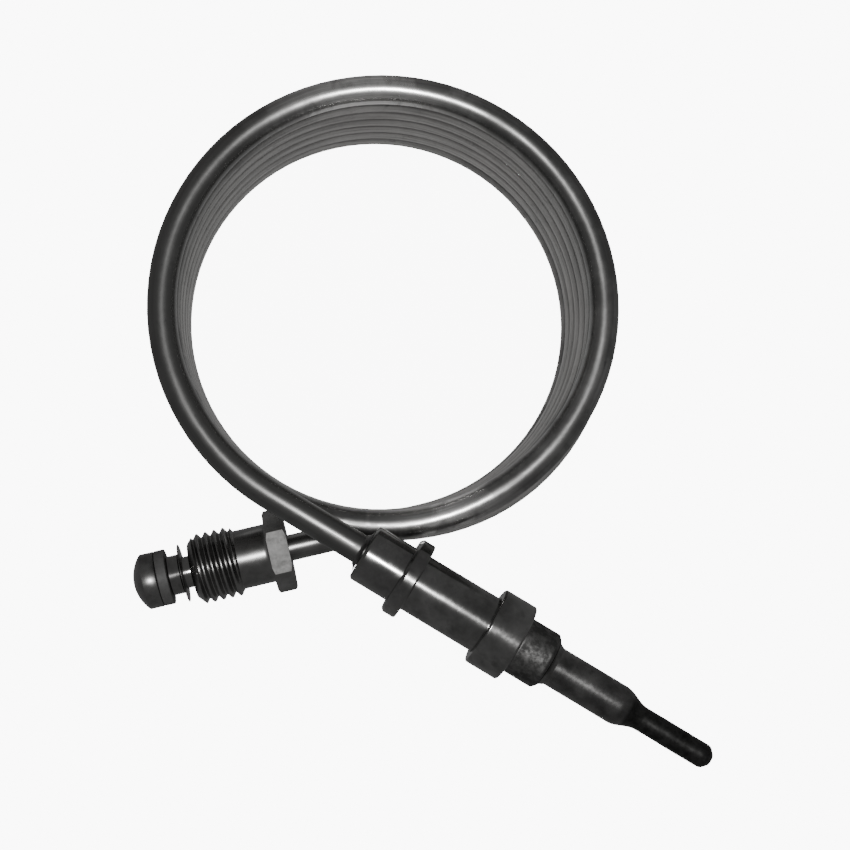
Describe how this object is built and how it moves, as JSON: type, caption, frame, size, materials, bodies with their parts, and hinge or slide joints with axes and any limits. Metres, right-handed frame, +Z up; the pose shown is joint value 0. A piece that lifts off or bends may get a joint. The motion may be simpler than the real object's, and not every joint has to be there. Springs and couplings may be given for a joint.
{
  "type": "gas thermocouple",
  "caption": "Gas burner thermocouple: coiled metal capillary lead with a stepped sensing probe on a shouldered barrel and a threaded union nut behind a domed contact.",
  "frame": {"origin": "on the surface it lies on, under the middle of the whole object", "axes": "+Z up along the coil; +Y from the fittings to the far side of the coil; +X from the contact towards the probe"},
  "size_m": [0.06, 0.0708, 0.0305],
  "materials": {
    "lead_copper": "drawn tube, dull dark metal with a bright line of light",
    "fitting_brass": "turned, darkened, with faint lathe lines",
    "nut_plated": "turned and plated, bright wrench flats",
    "sheath_alloy": "nearly black heat-resisting alloy",
    "thermo_wire": "drawn wire",
    "ceramic": "unglazed white",
    "insulation": "matt fibre",
    "braze": "dull brazed fillet",
    "glass_sleeving": "woven glass sleeving"
  },
  "bodies": {
    "lead_assembly": {"lead_tube": "lead_copper", "lead_sleeving": "glass_sleeving", "core_wire": "thermo_wire", "barrel": "fitting_brass", "rear_flange": "fitting_brass", "front_collar": "fitting_brass", "rear_bush": "fitting_brass", "rear_braze": "braze", "front_braze": "braze", "probe_sheath": "sheath_alloy", "inner_element": "thermo_wire", "junction_bead": "thermo_wire", "probe_insulator": "ceramic", "splice_ferrule": "nut_plated", "splice_sleeve": "insulation", "contact_cap": "fitting_brass", "solder_pip": "braze", "contact_bush": "ceramic", "insulating_ring": "insulation", "lead_ferrule": "fitting_brass", "ferrule_solder": "braze"},
    "washer": {"thrust_washer": "nut_plated"},
    "nut": {"union_nut": "nut_plated"}
  },
  "joints": [
    {"name": "nut_slide", "type": "slide", "parent": "lead_assembly", "child": "washer", "axis": [0.9744, 0.225, 0], "range_m": [0, 0.0005]},
    {"name": "nut_spin", "type": "hinge", "parent": "washer", "child": "nut", "pos_m": [-0.01867, -0.01576, 0.00412], "axis": [0.9744, 0.225, 0], "continuous": true}
  ]
}
